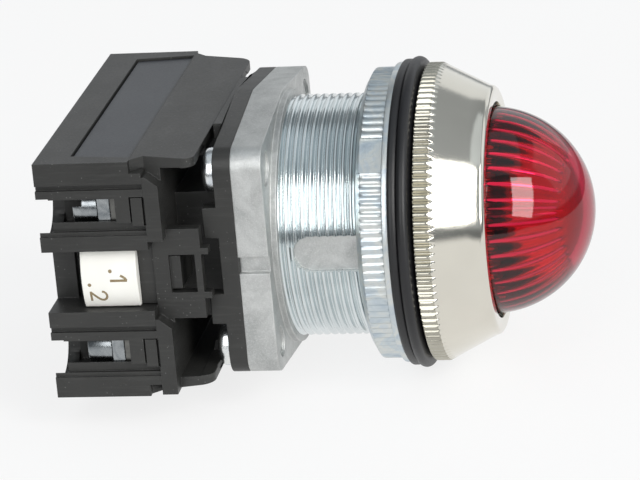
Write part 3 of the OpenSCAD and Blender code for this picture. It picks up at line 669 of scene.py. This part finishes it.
def screw_tree(material):
    """The same screw stood at each point of a mesh, turned a little further each time."""
    tree = Tree("screws", {"Screw": "NodeSocketObject", "Turn": FLOAT})
    screw = tree.node("GeometryNodeObjectInfo", {}, {"Object": tree.given("Screw")}, "Geometry")
    order = tree.node("GeometryNodeInputIndex", {}, {})
    turn = tree.node("ShaderNodeCombineXYZ", {}, {"Y": order * tree.given("Turn")})
    stood = tree.node("GeometryNodeInstanceOnPoints", {}, {
        "Points": tree.given("Geometry"), "Instance": screw, "Rotation": turn})
    tree.close(stood, material)
    return tree


# ---------------------------------------------------------------- parts of the lamp

def smooth_by_angle(made, degrees=32):
    for face in made.data.polygons:
        face.use_smooth = True
    made.data.set_sharp_from_angle(angle=math.radians(degrees))


def covered(made, material):
    """The piece gets this one finish."""
    made.data.materials.clear()
    made.data.materials.append(material)
    return made


def second_finish(made, material, where):
    """Gives another finish to the faces whose centre passes the test."""
    made.data.materials.append(material)
    for face in made.data.polygons:
        if where(face.center):
            face.material_index = 1


def softened(name, node, width, material, change=None, segments=2, cutter=None):
    """A merged copy of a solid with its corners rounded a little."""
    mesh = nodes[node].data.copy()
    made = linked(name, mesh)
    work = bmesh.new()
    work.from_mesh(mesh)
    bmesh.ops.remove_doubles(work, verts=work.verts, dist=4e-6)
    if change:
        change(work)
    bmesh.ops.dissolve_limit(
        work, angle_limit=math.radians(0.6), verts=work.verts, edges=work.edges, delimit={"NORMAL"})
    work.to_mesh(mesh)
    work.free()
    bevel = made.modifiers.new("round", "BEVEL")
    bevel.width = width
    bevel.segments = segments
    bevel.limit_method = "ANGLE"
    bevel.angle_limit = math.radians(38)
    bevel.use_clamp_overlap = True
    keep_shape(made, bevel)
    if cutter:
        cut_away(made, cutter)
    smooth_by_angle(made)
    even = made.modifiers.new("even", "WEIGHTED_NORMAL")
    even.keep_sharp = True
    keep_shape(made, even)
    return covered(made, material)


def half_width(node):
    """Half of a node's width, in mm."""
    low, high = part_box(node)
    return (high[0] - low[0]) / 2 / MM


def reach_of(node):
    """The reach of a node's rear and of its front, in mm."""
    low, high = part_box(node)
    return -high[1] / MM, -low[1] / MM


def crossing(low, high):
    """Where a box's middle line, along Y, crosses y = 0."""
    return (low[0] + high[0]) / 2, 0, (low[2] + high[2]) / 2


def make_bezel(material, knurled):
    """A knurled band, a cone to the lens hole, and inside it the seat for the lens foot."""
    rear, front = reach_of("bezel_ring")
    outer = half_width("bezel_ring")
    rim, band, nose, nose_round = 0.25, 1.7, 15.45, 0.75
    hole, seat, seat_front, seat_rear = 13.3, 14.25, front - 2.4, front - 3.75
    lip = front - nose_round
    slope = (outer - nose) / (lip - rear - band)
    rows = [i / 10 for i in range(1, 10)] + [1.1, 1.5, 2.5, 3.5, 4.5]
    outline = [
        (NECK_BORE, rear), (outer - 0.6, rear), (outer - 0.2, rear + 0.02),
        (outer - 0.03, rear + 0.1), (outer, rear + rim),
    ]
    outline += [(outer, rear + rim + (band - rim) * i / 5) for i in range(1, 6)]
    outline += [(outer - slope * row, rear + band + row) for row in rows]
    outline += [(nose, lip)] + arc((nose - nose_round, lip), nose_round, 12, 90, 7)
    outline += [
        (hole + 0.3, front), (hole + 0.06, front - 0.08), (hole, front - 0.3), (hole, seat_front),
        (seat, seat_front), (seat, seat_rear), (NECK_BORE, seat_rear),
    ]
    ring = turned("bezel", outline, TEETH * STEPS_A_TOOTH)
    ridge_tree(material).carve(ring, {
        "Crest radius": (outer + 0.01) * MM, "Depth": 0.42 * MM, "Teeth": float(TEETH),
        "Pitch": STRAIGHT, "Sharpness": 3.0})

    def on_band(centre):
        return -centre.y < (rear + band + 0.2) * MM and math.hypot(centre.x, centre.z) > 16 * MM

    # The knurled band gets the darker nickel, which is painted shade.
    second_finish(ring, knurled, on_band)
    smooth_by_angle(ring, 40)
    return ring


def make_nut(material):
    """A toothed ring with a tapered rear and two key slots across its teeth."""
    rear, front = reach_of("ring_nut")
    outer = half_width("ring_nut")
    mouth, taper, taper_reach = 15.5, 1.2, 0.7
    outline = [
        (NECK_BORE, rear + 0.5), (mouth, rear), (outer - 1.35, rear), (outer - taper, rear + 0.05),
    ]
    outline += [
        (outer - taper + taper * i / 5, rear + 0.05 + taper_reach * i / 5) for i in range(1, 6)]
    outline += [(outer, rear + 0.75 + (front - rear - 0.85) * i / 4) for i in range(1, 5)]
    outline += [
        (outer - 0.05, front - 0.03), (outer - 0.2, front), (mouth, front),
        (NECK_BORE, front - 0.4),
    ]
    ring = turned("nut", outline, TEETH * STEPS_A_TOOTH)
    slot_floor, slot_half = (outer - 0.6) * MM, 2.25 * MM
    for vertex in ring.data.vertices:
        for turn in (48, 228):
            way = (-math.sin(math.radians(turn)), math.cos(math.radians(turn)))
            up = vertex.co.x * way[0] + vertex.co.z * way[1]
            side = vertex.co.x * way[1] - vertex.co.z * way[0]
            if abs(side) < slot_half and up > slot_floor:
                vertex.co.x += way[0] * (slot_floor - up)
                vertex.co.z += way[1] * (slot_floor - up)
    ridge_tree(material).carve(ring, {
        "Crest radius": (outer + 0.01) * MM, "Depth": 0.17 * MM, "Teeth": float(TEETH),
        "Pitch": STRAIGHT, "Sharpness": 2.2})
    smooth_by_angle(ring, 40)
    return ring


def make_washer(material):
    """A flat ring with the tongue that runs in the neck's keyway."""
    rear, front = reach_of("panel_washer")
    outer = half_width("panel_washer")
    outline = [
        (NECK_BORE, rear), (outer - 0.12, rear), (outer - 0.03, rear + 0.04), (outer, rear + 0.14),
        (outer, front - 0.14), (outer - 0.03, front - 0.04), (outer - 0.12, front),
        (NECK_BORE, front),
    ]
    ring = turned("washer", outline, 192)
    tongue_foot, tongue_tip, tongue_w = -15.8, -14.15, 4.2
    work = bmesh.new()
    work.from_mesh(ring.data)
    for vertex in bmesh.ops.create_cube(work, size=1)["verts"]:
        vertex.co.x = (tongue_foot if vertex.co.x < 0 else tongue_tip) * MM
        vertex.co.y = -(front if vertex.co.y < 0 else rear) * MM
        vertex.co.z *= tongue_w * MM
    work.to_mesh(ring.data)
    work.free()
    smooth_by_angle(ring)
    return covered(ring, material)


def make_gasket(material):
    """A rubber ring with a flat rim and a rounded bead against the bezel."""
    rear, front = reach_of("panel_gasket")
    step, edge_round, bead_round = 0.3, 0.25, 0.75
    rim = half_width("panel_gasket") - step
    bead = rim + step - bead_round
    outline = [(NECK_BORE, rear), (rim - edge_round, rear)]
    outline += arc((rim - edge_round, rear + edge_round), edge_round, -80, 0, 4)
    outline += [(rim, rear + 0.7), (rim - 0.3, front - 1.75)]
    outline += arc((bead, front - 1.12), bead_round, -50, 80, 14)
    outline += [(bead - 0.6, front - 0.2), (bead - 1, front), (NECK_BORE, front)]
    ring = turned("gasket", outline, 240)
    smooth_by_angle(ring, 50)
    return covered(ring, material)


def make_seal(material):
    rear, front = reach_of("lens_seal")
    outer = half_width("lens_seal")
    inner = 12.81
    outline = [
        (inner, rear), (outer, rear), (outer, front - 0.1), (outer - 0.1, front),
        (inner + 0.08, front), (inner, front - 0.08),
    ]
    ring = turned("seal", outline, 180)
    smooth_by_angle(ring)
    return covered(ring, material)


def make_lens(material):
    """A hollow dome with ribs inside, on a sleeve with a foot."""
    rear, front = reach_of("lens_dome")
    foot = half_width("lens_dome")
    radius, wall = 12.8, 1.5
    foot_front = rear + 1.2
    inner = radius - wall
    centre = front - radius
    outline = arc((0, centre), radius, 90, 3, 29)
    outline += [
        (radius, centre), (radius, rear + 1.3), (radius + 0.1, foot_front),
        (foot - 0.15, foot_front), (foot, rear + 1.05), (foot, rear + 0.15), (foot - 0.15, rear),
        (inner + 0.1, rear), (inner, rear + 0.1), (inner, centre - 0.6), (inner, centre),
    ]
    outline += arc((0, centre), inner, 2, 88, 43) + [(0, centre + inner)]
    dome = turned("lens", outline, LENS_RIBS * STEPS_A_RIB, loop=False)
    rib_tree(material).carve(dome, {
        "Centre": -centre * MM, "Inner radius": inner * MM, "Height": 0.6 * MM,
        "Ribs": float(LENS_RIBS), "Clear spot": 6.5 * MM})
    smooth_by_angle(dome, 60)
    return dome


def make_neck(material, floor_material):
    """The threaded sleeve. Its rows follow the thread, so each keeps its place on the ridge."""
    front = reach_of("body_casting")[1]
    rear = -14.7
    bore, root_line = 12.2, 14.0
    pitch, rows_a_pitch = 1.0, 10
    rows = math.ceil((front - rear) / pitch + 1) * rows_a_pitch
    # The turns are close together over the keyway, which faces -X, and wider apart elsewhere
    keyway_turns = [(168 + 24 * i / 120) / 360 for i in range(121)]
    other_turns = [(192 + 336 * i / 134) / 360 for i in range(1, 134)]
    start = keyway_turns[0]
    turns = keyway_turns + other_turns + [start + 1]
    inside = [
        (14.9, front - 0.02), (14.3, front), (bore + 0.1, front), (bore, front - 0.1), (bore, rear)]
    vertices = []
    for turn in turns:
        climb = [rear - pitch + pitch * (j / rows_a_pitch + turn - start) for j in range(rows)]
        crest = [(NECK_RADIUS, min(max(reach, rear), front - 0.04)) for reach in climb]
        vertices += ring_points(crest + inside, 2 * math.pi * turn)
    faces = ring_faces(len(turns), rows + len(inside), joined=False)
    sleeve = object_from("neck_thread", vertices, faces)
    keyway_rear = -12.44
    for vertex in sleeve.data.vertices:
        reach, side = -vertex.co.y / MM, vertex.co.z / MM
        radius = math.hypot(vertex.co.x, vertex.co.z) / MM
        if vertex.co.x > 0 or radius < 13.5 or reach < keyway_rear:
            continue
        room, past = KEYWAY_HALF, keyway_rear + KEYWAY_HALF - reach
        if past >= 0:
            room = math.sqrt(max(0.0, KEYWAY_HALF ** 2 - past ** 2))
        if abs(side) < room:
            vertex.co.x = max(vertex.co.x, -root_line * MM)
    ridge_tree(material).carve(sleeve, {
        "Crest radius": NECK_RADIUS * MM, "Depth": 0.45 * MM, "Teeth": 1.0,
        "Pitch": pitch * MM, "Sharpness": 3.2})

    def on_floor(centre):
        level = -(root_line + 0.2) * MM < centre.x < -13.3 * MM
        return level and abs(centre.z) < KEYWAY_HALF * MM

    second_finish(sleeve, floor_material, on_floor)
    smooth_by_angle(sleeve, 50)
    return sleeve


def keep_flange(work):
    """Leaves the flange and its collar, closed where the neck left it."""
    cut = bmesh.ops.bisect_plane(
        work, geom=work.verts[:] + work.edges[:] + work.faces[:],
        plane_co=(0, -COLLAR_REACH * MM, 0), plane_no=(0, -1, 0), clear_outer=True)
    rims = [edge for edge in cut["geom_cut"] if isinstance(edge, bmesh.types.BMEdge)]
    bmesh.ops.bridge_loops(work, edges=rims)


def cutter_from(work):
    """A closed block or blocks to cut with."""
    bmesh.ops.recalc_face_normals(work, faces=work.faces)
    mesh = bpy.data.meshes.new("cutter")
    work.to_mesh(mesh)
    work.free()
    return linked("cutter", mesh)


def corner_blocks(low, high):
    """Four blocks round the axis, from the lowest to the highest (across, reach, height)."""
    work = bmesh.new()
    for side in (-1, 1):
        for half in (-1, 1):
            for vertex in bmesh.ops.create_cube(work, size=1)["verts"]:
                picked = [high[i] if vertex.co[i] > 0 else low[i] for i in range(3)]
                vertex.co = Vector((side * picked[0], -picked[1], half * picked[2])) * MM
    return cutter_from(work)


def cross_blades(rear, half_length, width, depth):
    """Two crossed tapering blades, for a screwdriver's cross."""
    work = bmesh.new()
    for turn in (0, math.pi / 2):
        for vertex in bmesh.ops.create_cube(work, size=1)["verts"]:
            deep = vertex.co.y < 0
            vertex.co.x *= 2 * half_length * (0.45 if deep else 1)
            vertex.co.z *= width * (0.8 if deep else 1)
            vertex.co.y = -(rear + depth if deep else rear - 0.5)
            vertex.co = Matrix.Rotation(turn, 3, "Y") @ vertex.co * MM
    return cutter_from(work)


def slot_blade(rear, half_length, width, depth):
    work = bmesh.new()
    for vertex in bmesh.ops.create_cube(work, size=1)["verts"]:
        vertex.co.x *= 2 * half_length
        vertex.co.z *= width
        vertex.co.y = -(rear + depth if vertex.co.y < 0 else rear - 0.5)
        vertex.co *= MM
    return cutter_from(work)


def cut_away(made, cutter):
    saw = made.modifiers.new("cut", "BOOLEAN")
    saw.operation = "DIFFERENCE"
    saw.solver = "EXACT"
    saw.use_self = True
    saw.object = cutter
    keep_shape(made, saw)
    bpy.data.objects.remove(cutter)


def make_snap_frame(material):
    """The clip frame, with the wings' lips cut back beside the heads of the base screws."""
    lips = corner_blocks((11.7, -26.3, 10.0), (21.5, -21.9, 13.28))
    return softened("snap_frame", "clip_frame", 0.00009, material, cutter=lips)


def make_base_screws(material):
    """Four pan head screws with a cross, as one piece."""
    rear, front = reach_of("base_screw_1")
    head, height, crown = 2.8, 1.55, 0.85
    outline = [(0, rear), (1.2, rear + 0.01), (1.9, rear + 0.04)]
    outline += arc((head - crown, rear + 0.87), crown, -80, 0, 7)
    outline += [
        (head, rear + height - 0.1), (head - 0.1, rear + height), (SCREW_SHANK, rear + height),
        (SCREW_SHANK, front - 0.3), (SCREW_POINT, front), (0, front),
    ]
    screw = turned("screw_form", outline, 64, loop=False)
    cut_away(screw, cross_blades(rear, 1.75, 0.52, 1.15))
    centres = []
    for number in NUMBERS:
        low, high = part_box(f"base_screw_{number}")
        centres.append(crossing(low, high))
    mesh = bpy.data.meshes.new("base_screws")
    mesh.from_pydata(centres, [], [])
    stands = linked("base_screws", mesh)
    screw_tree(material).carve(stands, {"Screw": screw, "Turn": 0.9})
    bpy.data.objects.remove(screw)
    smooth_by_angle(stands)
    return stands


def make_terminal_screw(number, material):
    """A cheese head screw with a slot, each turned another way."""
    node = f"terminal_screw_{number}"
    low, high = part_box(node)
    rear, front = reach_of(node)
    head = half_width(node)
    under = rear + 3.1
    outline = [
        (0, rear), (head - 0.5, rear), (head - 0.15, rear + 0.1), (head, rear + 0.35),
        (head, under - 0.15), (head - 0.1, under), (SCREW_SHANK, under),
        (SCREW_SHANK, front - 0.3), (SCREW_POINT, front), (0, front),
    ]
    screw = turned(f"terminal_screw_dressed_{number}", outline, 56, loop=False)
    slot = slot_blade(rear, head + 1, 0.8, 1.2)
    slot.data.transform(Matrix.Rotation(math.radians(20 + 47 * (number - 1)), 4, "Y"))
    cut_away(screw, slot)
    screw.data.transform(Matrix.Translation(crossing(low, high)))
    smooth_by_angle(screw)
    return covered(screw, material)


def stroke(points, width):
    """A flat band of one width along a line of points, as rows of left and right edge points."""
    line = [Vector((*point, 0)) for point in points]
    rows = []
    for i, point in enumerate(line):
        before = line[max(i - 1, 0)]
        after = line[min(i + 1, len(line) - 1)]
        side = (after - before).normalized().cross(Vector((0, 0, 1))) * width / 2
        rows.append((point + side, point - side))
    return rows


def make_figures(material):
    """The two terminal numbers printed on the marker, each with its dot."""
    low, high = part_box("marker_plate_1")
    bulge, middle, crest = 9 * MM, (low[2] + high[2]) / 2, low[0]
    dot_radius, ink_height = 0.23 * MM, 0.012 * MM
    work = bmesh.new()
    for foot, top, strokes in FIGURES:
        for points, width in strokes:
            fine = [points[0]]
            for (x0, y0), (x1, y1) in zip(points, points[1:]):
                fine += [(x0 + (x1 - x0) * i / 3, y0 + (y1 - y0) * i / 3) for i in (1, 2, 3)]
            rows = [
                [work.verts.new((0, -(foot + p.y) * MM, (top - p.x) * MM)) for p in row]
                for row in stroke(fine, width)
            ]
            for (a, b), (c, d) in zip(rows, rows[1:]):
                work.faces.new((a, b, d, c))
    facing = Matrix.Rotation(math.pi / 2, 4, "Y")
    for reach, height in DOTS:
        spot = Matrix.Translation((0, -reach * MM, height * MM)) @ facing
        bmesh.ops.create_circle(work, cap_ends=True, segments=20, radius=dot_radius, matrix=spot)
    for vertex in work.verts:
        height = vertex.co.z - middle
        vertex.co.x = crest + bulge - math.sqrt(bulge ** 2 - height ** 2) - ink_height
    mesh = bpy.data.meshes.new("marker_figures")
    work.to_mesh(mesh)
    work.free()
    figures = linked("marker_figures", mesh)
    for face in mesh.polygons:
        if face.normal.x > 0:
            face.flip()
    return covered(figures, material)


# ---------------------------------------------------------------- the scene

# each figure's foot, its top edge and its strokes of (across, up) points with their width, in mm
FIGURES = (
    (-33.65, 0.53, (
        (((0.78, 0), (0.78, 2.1)), 0.32),
        (((0.78, 2.02), (0.66, 1.98), (0.48, 1.84), (0.28, 1.58), (0.14, 1.3)), 0.3),
    )),
    (-36.32, -1.6, (
        (((0.05, 1.5), (0.08, 1.72), (0.24, 1.94), (0.5, 2.06), (0.8, 2.06), (1.06, 1.92),
          (1.2, 1.66), (1.18, 1.4), (1.06, 1.15), (0.84, 0.88), (0.56, 0.58), (0.3, 0.3),
          (0.12, 0.12)), 0.28),
        (((0.02, 0.13), (1.32, 0.13)), 0.28),
    )),
)
# reach and height of the dots, in mm
DOTS = ((-33.55, 0.95), (-36.23, -0.75))

cast = cast_metal()
thread = cut_thread()
plated = zinc_plate()
steel = screw_steel()
shaded_steel = terminal_steel()
nickel = satin_nickel()
knurl = knurled_nickel()
rubber = black_rubber()
card = marker_card()
ink = marker_ink()
lens_red = red_lens()
brass = bright_brass()
bar = plated_brass()
green = circuit_board()
resin = diode_resin()
black = black_moulding()
label = label_facing()
blue = component_skin("sleeve_blue", (0.02, 0.035, 0.16), (0.03, 0.05, 0.22), 0.3)
chip = component_skin("chip_black", (0.015, 0.015, 0.016), (0.03, 0.03, 0.03), 0.45)
tan = component_skin("resistor_tan", (0.50, 0.36, 0.20), (0.60, 0.45, 0.27), 0.35)

# each node's finish and slot
PAINT = {
    "base_plate": (black, "black_plastic"),
    "clip_frame": (black, "black_plastic"),
    "terminal_housing": (black, "black_plastic"),
    "label_plate": (label, "label_plastic"),
    "lamp_holder": (black, "black_plastic"),
    "light_board": (green, "board_green"),
    "diode_cluster": (resin, "diode_red"),
    "supply_pin_1": (brass, "brass"),
    "supply_pin_2": (brass, "brass"),
    "driver_board": (green, "board_green"),
    "capacitor": (blue, "sleeve_blue"),
    "rectifier": (chip, "chip_black"),
    "series_resistor": (tan, "resistor_tan"),
    # The terminal bars' dark grey finish is painted shade.
    "terminal_bar_1": (bar, "brass"),
    "terminal_bar_2": (bar, "brass"),
    "body_casting": (cast, "cast_zinc"),
    "ring_nut": (plated, "plated_steel"),
    "panel_washer": (plated, "plated_steel"),
    "panel_gasket": (rubber, "black_rubber"),
    "lens_seal": (rubber, "black_rubber"),
    "bezel_ring": (nickel, "nickel"),
    "lens_dome": (lens_red, "red_lens"),
    "marker_plate_1": (card, "marker_white"),
    "marker_plate_2": (card, "marker_white"),
}
for number in NUMBERS:
    PAINT[f"base_screw_{number}"] = (steel, "plated_steel")
    # The terminal screws and clamp washers take the darker steel, which is painted shade.
    PAINT[f"terminal_screw_{number}"] = (shaded_steel, "plated_steel")
    PAINT[f"clamp_washer_{number}"] = (shaded_steel, "plated_steel")
for name, (material, slot) in PAINT.items():
    node = nodes[name]
    for held in node.material_slots:
        held.material = material


def place(piece, body, slot, *replaced):
    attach(piece, body)
    if replaced:
        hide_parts(*replaced)


place(make_bezel(nickel, knurl), "bezel", "nickel", "bezel_ring")
place(make_nut(plated), "nut", "plated_steel", "ring_nut")
place(make_washer(plated), "washer", "plated_steel", "panel_washer")
place(make_gasket(rubber), "lamp", "black_rubber", "panel_gasket")
place(make_lens(lens_red), "lens", "red_lens", "lens_dome")
place(make_seal(rubber), "lens", "black_rubber", "lens_seal")
flange = softened("flange", "body_casting", 0.00022, cast, keep_flange, 3)
place(flange, "lamp", "cast_zinc", "body_casting")
place(make_neck(thread, cast), "lamp", "cast_zinc")
place(
    make_base_screws(steel), "lamp", "plated_steel",
    "base_screw_1", "base_screw_2", "base_screw_3", "base_screw_4")
rear_cover = softened("rear_cover", "base_plate", 0.00012, black)
place(rear_cover, "lamp", "black_plastic", "base_plate")
place(make_snap_frame(black), "lamp", "black_plastic", "clip_frame")
terminal_block = softened("terminal_block", "terminal_housing", 0.00009, black)
place(terminal_block, "lamp", "black_plastic", "terminal_housing")
label_face = softened("label_face", "label_plate", 0.00012, label)
place(label_face, "lamp", "label_plastic", "label_plate")
marker_near = softened("marker_near", "marker_plate_1", 0.00015, card)
place(marker_near, "lamp", "marker_white", "marker_plate_1")
marker_far = softened("marker_far", "marker_plate_2", 0.00015, card)
place(marker_far, "lamp", "marker_white", "marker_plate_2")
place(make_figures(ink), "lamp", "marker_white")
for number in NUMBERS:
    terminal_screw = make_terminal_screw(number, shaded_steel)
    place(terminal_screw, f"screw_{number}", "plated_steel", f"terminal_screw_{number}")


# ---------------------------------------------------------------- ground and light

floor_z = min(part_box(name)[0].z for name in nodes) - 0.0001
corners = ((-0.15, -0.16), (4, -0.16), (4, 2), (-0.15, 2))
ground = object_from("ground", [(*corner, floor_z) for corner in corners], [(0, 1, 2, 3)], False)
ground.data.materials.append(pale_ground())

world = bpy.data.worlds.new("studio")
bpy.context.scene.world = world
sky = Shading(world)
backdrop = sky.tree.nodes["Background"]
clear = sky.seen("Camera", "Transmission")
sky.feed(backdrop.inputs["Color"], sky.blend(clear, COOL_WHITE, WHITE))
_, back, rise = sky.axes("Generated")
studio = rise.spread(0.0, 0.05, 0.16, 0.44) * (1.0 - back * 0.7) * (1.0 - rise * 0.35)
mirrored = sky.seen("Glossy")
strength = clear.largest(mirrored * studio).largest((1 - mirrored) * 0.28)
sky.feed(backdrop.inputs["Strength"], strength)

make_camera()
make_panel("front_panel", 48, 26, 1.0, (0.42, 0.76), 7.4, -20, (1.0, 0.99, 0.965))
make_panel("rear_panel", -14, 26, 1.0, (0.50, 0.78), 2.8)
make_panel("far_panel", 180, 24, 1.2, (1.6, 0.7), 0.55)
make_panel("top_panel", 20, 84, 1.0, (1.1, 1.1), 0.42, 0, (0.86, 0.94, 1.0))
make_panel("side_panel", 110, 30, 1.2, (0.8, 0.8), 0.5)
bpy.context.scene.view_settings.view_transform = "Standard"
